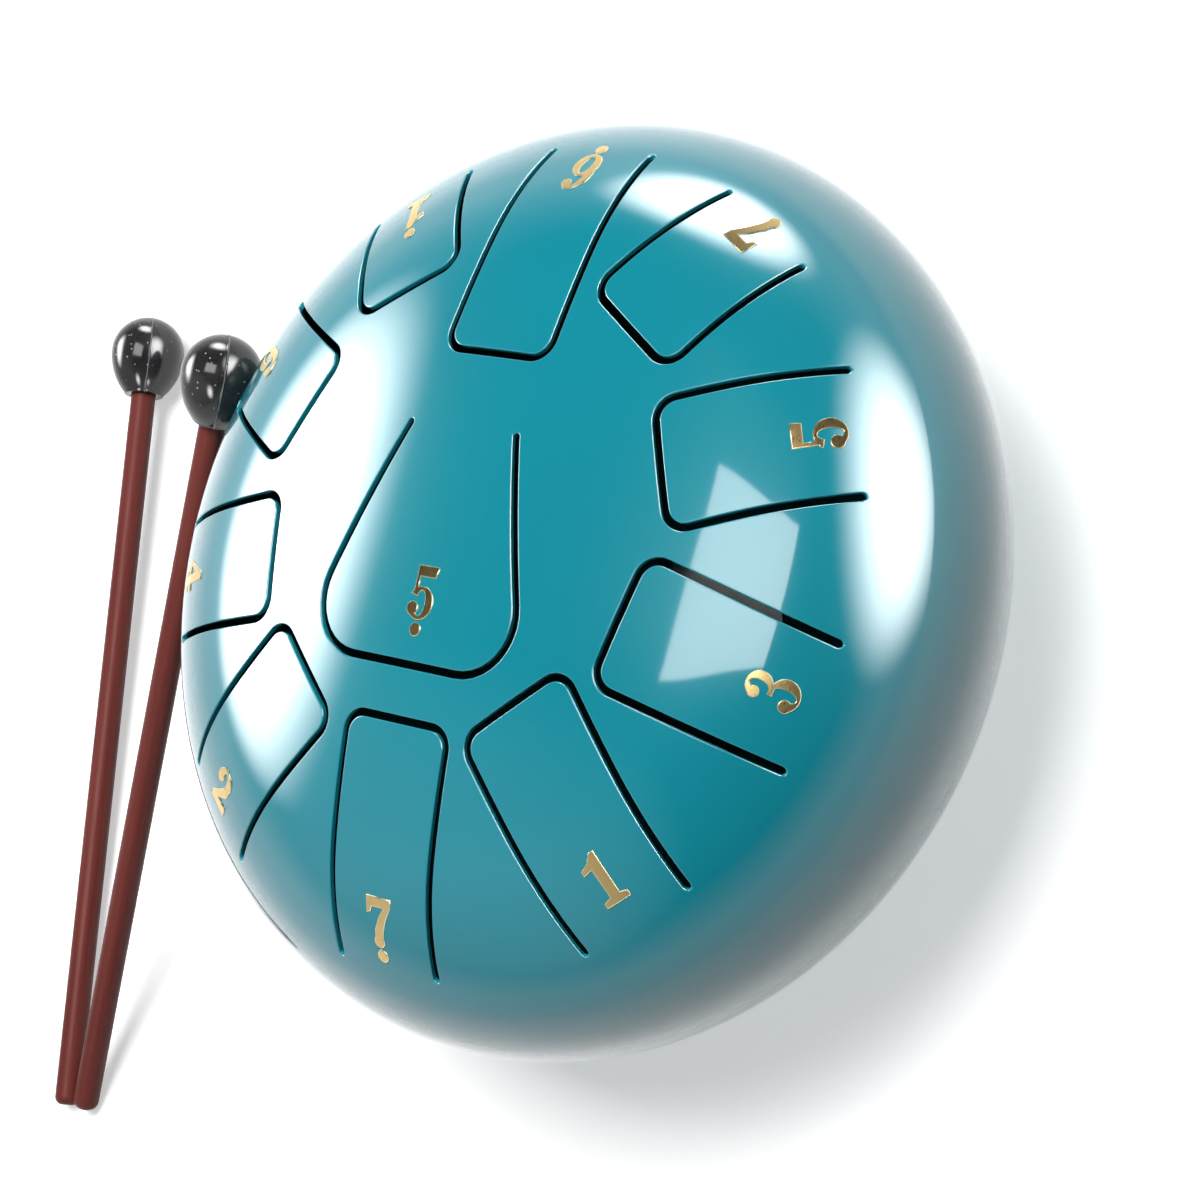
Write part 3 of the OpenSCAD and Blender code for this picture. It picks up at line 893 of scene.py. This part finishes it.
# digits as shares of their height, x from the middle and y up from the foot: plates are polygons, a bow is
# (centre x, y, radius x, y, wall x, y, start, end angle), a ball is (x, y, radius) and a hole is cut out
digitShares = {
    1: {
        "plates": [[(-0.26, 0), (0.28, 0), (0.28, 0.11), (0.14, 0.15), (0.14, 1), (0.03, 1), (-0.10, 0.86),
                    (-0.28, 0.79), (-0.28, 0.68), (-0.09, 0.71), (-0.09, 0.15), (-0.26, 0.11)]],
    },
    2: {
        "plates": [[(0.28, 0.64), (0.08, 0.64), (-0.06, 0.42), (-0.29, 0.16), (-0.29, 0), (-0.10, 0.13),
                    (0.08, 0.31), (0.22, 0.45)],
                   [(-0.29, 0), (0.29, 0), (0.29, 0.27), (0.22, 0.21), (-0.06, 0.21), (-0.29, 0.10)]],
        "bows": [(0, 0.72, 0.28, 0.28, 0.19, 0.08, -20, 170)],
        "balls": [(-0.16, 0.71, 0.12)],
    },
    3: {
        "plates": [[(-0.10, 0.48), (0.06, 0.48), (0.06, 0.57), (-0.10, 0.57)]],
        "bows": [(0, 0.755, 0.25, 0.245, 0.17, 0.07, -90, 150), (0, 0.28, 0.29, 0.28, 0.19, 0.07, -150, 90)],
        "balls": [(-0.14, 0.81, 0.11), (-0.17, 0.21, 0.12)],
    },
    4: {
        "plates": [[(0.17, 1), (0.03, 1), (-0.31, 0.36), (-0.31, 0.22), (-0.03, 0.22), (-0.03, 0.13),
                    (-0.13, 0.10), (-0.13, 0), (0.27, 0), (0.27, 0.10), (0.17, 0.13), (0.17, 0.22),
                    (0.30, 0.22), (0.30, 0.36), (0.17, 0.36)]],
        "holes": [[(-0.03, 0.36), (-0.03, 0.70), (-0.19, 0.36)]],
    },
    5: {
        "plates": [[(-0.21, 0.47), (-0.12, 0.52), (-0.13, 0.79), (0.24, 0.79), (0.27, 1), (-0.22, 1)]],
        "bows": [(-0.01, 0.31, 0.30, 0.31, 0.19, 0.08, -145, 150)],
        "balls": [(-0.17, 0.20, 0.13)],
    },
    6: {
        "bows": [(0, 0.32, 0.29, 0.32, 0.18, 0.08, 0, 180), (0, 0.32, 0.29, 0.32, 0.18, 0.08, 180, 360),
                 (0.07, 0.56, 0.36, 0.44, 0.18, 0.08, 70, 205)],
        "balls": [(0.16, 0.84, 0.11)],
    },
    7: {
        "plates": [[(-0.29, 0.66), (-0.20, 0.69), (-0.15, 0.80), (0.12, 0.80), (0, 0.62), (-0.11, 0.36),
                    (-0.13, 0.10), (0.07, 0.10), (0.09, 0.32), (0.17, 0.58), (0.30, 0.85), (0.30, 1),
                    (-0.29, 1)]],
        "balls": [(-0.03, 0.125, 0.125)],
    },
}
# note, digit, its dot (-1 under it, 1 over it) and its distance from the axis as a share of the drum's radius
numbers = [
    ("low_5", 5, -1, -0.125),
    ("low_6", 6, -1, 0.805),
    ("low_7", 7, -1, 0.780),
    ("1", 1, 0, 0.778),
    ("2", 2, 0, 0.80),
    ("3", 3, 0, 0.80),
    ("4", 4, 0, 0.80),
    ("5", 5, 0, 0.808),
    ("6", 6, 0, 0.80),
    ("7", 7, 0, 0.848),
    ("high_1", 1, 1, 0.81),
]
number = {
    "height": 14 * mm,
    "dot": 3.6 * mm,
    "dotGap": 0.6 * mm,
    "foil": 0.3 * mm,
    "glue": 0.05 * mm,
    "bevel": 0.26 * mm,
    "innerBevel": 0.02 * mm,
    "bevelSteps": 3,
    "gridStep": 1.1 * mm,
    "edgeClearShare": 0.5,
    "bowSteps": 26,
    "ballSteps": 32,
    "centreShare": -0.012,
}


# closed lines of a digit, in metres from its middle, and the holes in it; a bow's line goes out along its
# outer oval and back along its inner one
def digitLines(digit, dot):
    form, height = digitShares[digit], number["height"]
    circle = headings(evenAngles(number["ballSteps"]))
    lines = [np.array(plate) for plate in form.get("plates", [])]
    for x, y, rx, ry, wallX, wallY, start, end in form.get("bows", []):
        arc = headings(np.radians(np.linspace(start, end, number["bowSteps"] + 1)))
        outer, inner = (x, y) + arc * (rx, ry), (x, y) + arc * (rx - wallX, ry - wallY)
        lines.append(np.concatenate([outer, inner[::-1]]))
    lines += [(x, y) + radius * circle for x, y, radius in form.get("balls", [])]
    lines = [(line - (0, 0.5)) * height for line in lines]
    if dot:
        away = height / 2 + number["dotGap"] + number["dot"] / 2
        lines.append(number["dot"] / 2 * circle + (0, dot * away))
    holes = [(np.array(hole) - (0, 0.5)) * height for hole in form.get("holes", [])]
    return lines, holes


# twice the area that a closed line goes round, over zero if it runs anticlockwise
def turnSign(line):
    nextOne = np.roll(line, -1, axis=0)
    return (line[:, 0] * nextOne[:, 1] - line[:, 1] * nextOne[:, 0]).sum()


# triangles over every line at once, without those in holes; points are added where lines cross
def fillLines(lines, holes):
    rounds = [line if turnSign(line) > 0 else line[::-1] for line in lines + holes]
    made = delaunay_2d_cdt((np.concatenate(rounds) / mm).tolist(), [], numbersOf(rounds), 1, 1e-4)
    points, triangles = np.array(made[0]) * mm, np.array(made[2])
    middles = points[triangles].mean(1)
    filled = np.any([insideLine(middles, line) for line in rounds[:len(lines)]], axis=0)
    for line in rounds[len(lines):]:
        filled &= ~insideLine(middles, line)
    return points, triangles[filled]


# at each border point, the vector that moves both border lines beside it out by one
def outwardAt(points, border):
    run = points[border[:, 1]] - points[border[:, 0]]
    square = np.column_stack([run[:, 1], -run[:, 0]]) / np.linalg.norm(run, axis=1)[:, None]
    first = np.zeros_like(points)
    second = np.zeros_like(points)
    first[border[:, 0]] = square
    second[border[:, 1]] = square
    dot = (first * second).sum(1)
    return (first + second) / np.maximum(1 + dot, 0.5)[:, None]


# closed rings of border arrows, each as the points in order
def borderRings(border):
    following = dict(border.tolist())
    rings = []
    while following:
        start = point = next(iter(following))
        ring = []
        while True:
            ring.append(point)
            point = following.pop(point)
            if point == start:
                break
        rings.append(np.array(ring))
    return rings


# which points lie inside an odd number of closed rings
def insideRings(points, rings):
    return np.logical_xor.reduce([insideLine(points, ring) for ring in rings])


# a number's face in its own plane, set in by its bevel: points, the way out of its edge, and triangles
def numberFace(note, digit, dot):
    points, triangles = fillLines(*digitLines(digit, dot))
    border = borderArrows(triangles)
    outward, rings = outwardAt(points, border), borderRings(border)
    inset = [points[ring] - number["bevel"] * outward[ring] for ring in rings]
    edge = np.concatenate(inset)
    step = number["gridStep"]
    grid = staggeredGrid(np.abs(edge).max() + number["bevel"], step)
    grid = grid[insideRings(grid, inset) & (gapTo(grid, edge) > number["edgeClearShare"] * step)]
    flat = np.concatenate([edge, grid])
    away = np.concatenate([outward[ring] for ring in rings] + [np.zeros_like(grid)])
    triangles = triangulate("number " + note, flat, [], numbersOf(inset))
    return flat, away, triangles[insideRings(flat[triangles].mean(1), inset)]


# the number lies on its tongue: up the digit is towards the axis, or on the centre tongue towards its root
def layNumber(note, digit, dot, share):
    face, away, triangles = numberFace(note, digit, dot)
    centre = note == "low_5"
    radius = share * drumRadius
    s = np.interp(abs(radius), domeSection["r"], domeSection["s"]) * np.sign(radius)
    sideways = (centreTongue["shift"][0] - number["centreShare"] * drumRadius) if centre else 0.0
    turn = -math.pi / 2 if centre else math.pi / 2
    angle = math.radians(next(degrees for name, degrees, _ in tongues if name == note))
    # across the tongue the flattened sheet is wider than the plan, by s / radius
    flat = turned(turned(face, turn) * (1, abs(s / radius)) + (s, sideways), angle)
    arrows = turned(turned(away, turn), angle)
    depths = (-(number["glue"] + number["foil"]), -number["glue"])
    steps = edgeSteps(number["bevel"], number["foil"], number["bevelSteps"], number["innerBevel"])
    piece = sheetPiece("foil_number_" + note, flat, arrows, triangles, depths, steps, foil)
    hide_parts("number_" + note)
    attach(piece, "note_" + note)


for entry in numbers:
    layNumber(*entry)
print("numbers made")

# a mallet's own sizes, along its stick from the butt
mallet = {
    "stickRadius": 4 * mm,
    "buttRound": 2.5 * mm,
    "topRound": 0.4 * mm,
    "headRadius": 12 * mm,
    "skirt": 14.5 * mm,
    "neckRadius": 6 * mm,
    "boreRadius": 4.05 * mm,
    "boreDepth": 17.05 * mm,
    "lipRound": 0.6 * mm,
    "socket": 17 * mm,
    "seamHeight": 0.2 * mm,
    "seamWidth": 0.2 * mm,
    "seamCrowding": 0.85,
    "seamTurn": {"left": 48, "right": 54},
    "nubHeight": 0.35 * mm,
    "nubWidth": 0.5 * mm,
    "stickAround": 64,
    "headAround": 160,
}


# a node's own points, each once
def nodePoints(name):
    data = frame["nodes"][name].data
    points = np.zeros(len(data.vertices) * 3, np.float32)
    data.vertices.foreach_get("co", points)
    return np.unique(points.reshape(-1, 3).round(7), axis=0).astype(float)


# the line of a stick: the middle of its butt, a turn that carries +Z along it, and its length; its butt is
# the end with the lower y
def stickLine(side):
    points = nodePoints(side + "_mallet_stick")
    axis = np.linalg.svd(points - points.mean(0), full_matrices=False)[2][0]
    axis *= np.sign(axis[1])
    height = points @ axis
    low = points[height < height.min() + mallet["buttRound"]]
    high = points[height > height.max() - mallet["buttRound"]]
    axis = high.mean(0) - low.mean(0)
    axis /= np.linalg.norm(axis)
    height = points @ axis
    middle = low.mean(0)
    butt = middle + (height.min() - middle @ axis) * axis
    across = np.cross(axis, (0, 0, 1))
    across /= np.linalg.norm(across)
    return butt, np.column_stack([np.cross(across, axis), across, axis]), height.max() - height.min()


def dressStick(side):
    butt, turn, length = stickLine(side)
    radius, bend, end = mallet["stickRadius"], mallet["buttRound"], mallet["topRound"]
    # along the butt, its round, the side, the top's round and the top, turned to run down from the top
    rows = np.concatenate([
        lineRows(0, 0, radius - bend, 0, 0, -1, 4)[:-1],
        arcRows(radius - bend, bend, bend, 180, 90, 9),
        lineRows(radius, bend, radius, length - end, 1, 0, 60)[1:],
        arcRows(radius - end, length - end, end, 90, 0, 5)[1:],
        lineRows(radius - end, length, 0, length, 0, 1, 3)[1:],
    ])[::-1]
    angles = evenAngles(mallet["stickAround"])
    stick = turnedPiece("lacquered_stick_" + side, *rows.T, angles, stickLacquer, (turn, butt))
    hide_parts(side + "_mallet_stick")
    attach(stick, side + "_mallet")


# the head: half a ball over a skirt whose arc leaves it upright and reaches the neck, a rounded lip, and the
# stick's bore; the seam of its mould is a low ridge in one plane through the axis
def dressHead(side):
    butt, turn, length = stickLine(side)
    radius, skirt, neck, bore = (mallet[key] for key in ("headRadius", "skirt", "neckRadius", "boreRadius"))
    lip, depth = mallet["lipRound"], mallet["boreDepth"]
    arc = (skirt ** 2 + (radius - neck) ** 2) / (2 * (radius - neck))
    fall = math.degrees(math.asin((skirt - lip) / arc))
    neckR = radius - arc + arc * math.cos(math.radians(fall))
    rows = np.concatenate([
        arcRows(0, 0, radius, 0, 90, 48),
        arcRows(radius - arc, 0, arc, 90, 90 + fall, 40)[1:],
        arcRows(neckR - lip, -skirt + lip, lip, 90 + fall, 180, 8)[1:],
        lineRows(neckR - lip, -skirt, bore, -skirt, 0, -1, 3)[1:],
        lineRows(bore, -skirt, bore, depth - skirt, -1, 0, 12)[1:],
        lineRows(bore, depth - skirt, 0, depth - skirt, 0, -1, 3)[1:],
    ])
    middle = butt + turn[:, 2] * (length - mallet["socket"] + skirt)
    # the meridians crowd together at the seam
    seamAngle = math.radians(mallet["seamTurn"][side])
    even = evenAngles(mallet["headAround"])
    angles = even - mallet["seamCrowding"] / 2 * np.sin(2 * even) + seamAngle

    # ridge = height * exp(-(distance from the seam's plane / width)^2), and a like nub on the pole
    def seam(r, z, angles):
        across = np.outer(r, np.sin(angles - seamAngle)) / mallet["seamWidth"]
        nub = mallet["nubHeight"] * np.exp(-(r / mallet["nubWidth"]) ** 2) * (z > 0)
        inSight = (r > bore + lip) | (z > 0)
        return (mallet["seamHeight"] * np.exp(-across ** 2) + nub[:, None]) * inSight[:, None]

    head = turnedPiece("rubber_head_" + side, *rows.T, angles, headRubber, (turn, middle), seam)
    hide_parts(side + "_mallet_head")
    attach(head, side + "_mallet")


for side in ("left", "right"):
    dressStick(side)
    dressHead(side)
print("mallets made")

# the feet keep their own meshes
for name in ("foot_1", "foot_2", "foot_3"):
    node = frame["nodes"][name]
    node.data.materials.clear()
    node.data.materials.append(footRubber)

# the studio. The camera sees white in every direction; gloss and glass see it as high as wallTop, and from
# there it fades to a dark ceiling at ceilingStart. The card is a paler stretch of that ceiling, round its
# direction. The window is a lamp that only gloss shows, and the key one that lights only matt shading. Each
# panel is (compass angle, height angle, half width, half height, brightness, what it lights), and all are at
# one distance
studio = {
    "ambient": 0.10,
    "ceiling": 0.01,
    "wallTop": 0.15,
    "ceilingStart": 0.55,
    "card": (-0.45, -0.75, 0.50),
    "cardBrightness": 0.6,
    "cardRange": (0.70, 0.92),
    "cardRise": (0.05, 0.40),
    "floorSize": 80,
    "floorScales": (2, 60),
    "floorToCamera": 0.86,
    "floorDrift": 0.01,
    "floorToObject": 0.10,
    "floorGlow": 0.50,
    "underStart": 0.035,
    "underEnd": 0.065,
    "farStart": 0.9,
    "farEnd": 3.0,
    "aim": (0.0, 0.0, 0.09),
    "lamps": {
        "window": {"place": (0.22, 0.24, 2.0), "size": (1.05, 0.80), "brightness": 6.5, "inGloss": True},
        "key": {"place": (0.05, 0.50, 1.95), "size": (1.20, 1.20), "brightness": 10.6, "inGloss": False},
    },
    "distance": 1.6,
    "panelCore": 0.15,
    "panels": {
        "left": (177, 27, 0.74, 0.46, 22.0, "drum"),
        "right": (32, 20, 1.20, 0.98, 21.0, "drum"),
        "back": (104, 19, 0.66, 0.42, 23.0, "drum"),
        "low_left": (-84, 38, 0.26, 0.44, 20.0, "heads"),
        "low_right": (-54, 14, 0.30, 0.30, 20.0, "heads"),
    },
}


# 1 for rays from the camera, from gloss and through glass
def shownRays(tree, path):
    both = calculate(tree, "ADD", path.outputs["Is Camera Ray"], path.outputs["Is Glossy Ray"])
    return calculate(tree, "ADD", both, path.outputs["Is Transmission Ray"], clamped=True)


# how bright the card is in a direction; it comes up from nothing above the horizon
def cardLight(tree, direction):
    facing = addNode(tree, "ShaderNodeVectorMath", operation="DOT_PRODUCT")
    join(tree, direction, facing.inputs[0])
    facing.inputs[1].default_value = Vector(studio["card"]).normalized()
    card = between(tree, facing.outputs["Value"], 0.0, studio["cardBrightness"], *studio["cardRange"])
    rise = between(tree, heightOf(tree, direction), 0.0, 1.0, *studio["cardRise"])
    return calculate(tree, "MULTIPLY", card, rise)


def makeWorld():
    world = bpy.data.worlds.new("studio")
    world.use_nodes = True
    tree = world.node_tree
    background = tree.nodes["Background"]
    background.inputs["Color"].default_value = (1, 1, 1, 1)
    path = addNode(tree, "ShaderNodeLightPath")
    direction = addNode(tree, "ShaderNodeTexCoord").outputs["Generated"]
    height, start, stop = heightOf(tree, direction), studio["wallTop"], studio["ceilingStart"]
    room = between(tree, height, 1.0, studio["ceiling"], start, stop)
    lit = calculate(tree, "MAXIMUM", room, cardLight(tree, direction))
    seen = mixNumbers(tree, path.outputs["Is Camera Ray"], lit, 1.0)
    strength = mixNumbers(tree, shownRays(tree, path), studio["ambient"], seen)
    join(tree, strength, background.inputs["Strength"])
    bpy.context.scene.world = world


# matt and white in sight, and dim in the light that it throws back on the object
def makeFloor():
    bpy.ops.mesh.primitive_plane_add(size=studio["floorSize"], location=(0, 0, floorZ))
    floor = bpy.context.object
    floor.name = "floor"
    material, tree, surface = startMaterial("floor")
    surface.inputs["Roughness"].default_value = 1.0
    surface.inputs["Specular IOR Level"].default_value = 0.0
    shown = shownRays(tree, addNode(tree, "ShaderNodeLightPath"))
    place = placeOutput(tree)
    broad, _ = useVariation(tree, place, *studio["floorScales"])
    tone, drift = studio["floorToCamera"], studio["floorDrift"]
    pale = mixNumbers(tree, broad, tone - drift, tone + drift)
    join(tree, mixNumbers(tree, shown, studio["floorToObject"], pale), surface.inputs["Base Color"])
    surface.inputs["Emission Color"].default_value = (1, 1, 1, 1)
    # no glow under the drum, so that its slots stay dark where they look out through the sound hole
    away = lengthOf(tree, place)
    near = between(tree, away, 0.0, studio["floorGlow"], studio["underStart"], studio["underEnd"])
    glow = between(tree, away, near, 1.0, studio["farStart"], studio["farEnd"])
    join(tree, mixNumbers(tree, shown, 0.0, glow), surface.inputs["Emission Strength"])
    floor.data.materials.append(material)


# its power in watts is brightness * area * pi; the key faces the drum, and the window lies level
def addLamp(name, form):
    width, depth = form["size"]
    data = bpy.data.lights.new(name, "AREA")
    data.shape, data.size, data.size_y = "RECTANGLE", width, depth
    data.energy = form["brightness"] * width * depth * math.pi
    lamp = bpy.data.objects.new(name, data)
    lamp.location = form["place"]
    if not form["inGloss"]:
        away = Vector(form["place"]) - Vector(studio["aim"])
        lamp.rotation_euler = away.to_track_quat("Z", "Y").to_euler()
    lamp.visible_camera = False
    lamp.visible_glossy = form["inGloss"]
    lamp.visible_diffuse = not form["inGloss"]
    bpy.context.scene.collection.objects.link(lamp)


# the pieces whose names begin so, as a collection whose members a panel lights or leaves out
def litBy(name, starts, state):
    chosen = bpy.data.collections.new(name)
    for piece in list(bpy.data.objects):
        if piece.name.startswith(starts):
            chosen.objects.link(piece)
    for member in chosen.collection_objects:
        member.light_linking.link_state = state
    return chosen


# "drum" leaves out the foil and the sticks, which a flag beside the panel would shade, and "heads" is the
# mallets' heads alone
receivers = {
    "drum": litBy("not the foil and sticks", ("foil_number_", "lacquered_stick_"), "EXCLUDE"),
    "heads": litBy("heads", ("rubber_head_",), "INCLUDE"),
}


# light added to what is seen through a panel: full out to panelCore of the way from its middle to its edge,
# and from there eased down to nothing, with the way measured in half widths and half heights
def makeGlow(name, halfWidth, halfHeight, brightness):
    material, tree, surface = startMaterial(name)
    tree.nodes.remove(surface)
    spread = addNode(tree, "ShaderNodeVectorMath", operation="DIVIDE")
    join(tree, placeOutput(tree), spread.inputs[0])
    spread.inputs[1].default_value = (halfWidth, halfHeight, 1)
    away = lengthOf(tree, spread.outputs[0])
    glow = addNode(tree, "ShaderNodeEmission")
    strength = between(tree, away, brightness, 0.0, studio["panelCore"], 1.0, "SMOOTHSTEP")
    join(tree, strength, glow.inputs["Strength"])
    clear, both = addNode(tree, "ShaderNodeBsdfTransparent"), addNode(tree, "ShaderNodeAddShader")
    join(tree, glow.outputs[0], both.inputs[0])
    join(tree, clear.outputs[0], both.inputs[1])
    join(tree, both.outputs[0], tree.nodes["Material Output"].inputs["Surface"])
    return material


# a flat panel that faces the drum
def addPanel(name, compass, height, halfWidth, halfHeight, brightness, lights):
    bearing, rise = math.radians(compass), math.radians(height)
    toPanel = Vector((math.cos(rise) * math.cos(bearing), math.cos(rise) * math.sin(bearing), math.sin(rise)))
    mesh = bpy.data.meshes.new(name)
    corners = [(x * halfWidth, y * halfHeight, 0) for x, y in ((-1, -1), (1, -1), (1, 1), (-1, 1))]
    mesh.from_pydata(corners, [], [(0, 1, 2, 3)])
    mesh.materials.append(makeGlow(name + "_panel", halfWidth, halfHeight, brightness))
    panel = bpy.data.objects.new(name + "_panel", mesh)
    panel.location = Vector(studio["aim"]) + studio["distance"] * toPanel
    panel.rotation_euler = toPanel.to_track_quat("-Z", "Y").to_euler()
    panel.visible_camera = False
    panel.visible_diffuse = False
    panel.light_linking.receiver_collection = receivers[lights]
    bpy.context.scene.collection.objects.link(panel)


makeWorld()
makeFloor()
for name, form in studio["lamps"].items():
    addLamp(name, form)
for name, form in studio["panels"].items():
    addPanel(name, *form)
print("studio made")
bpy.context.scene.view_settings.view_transform = "Standard"
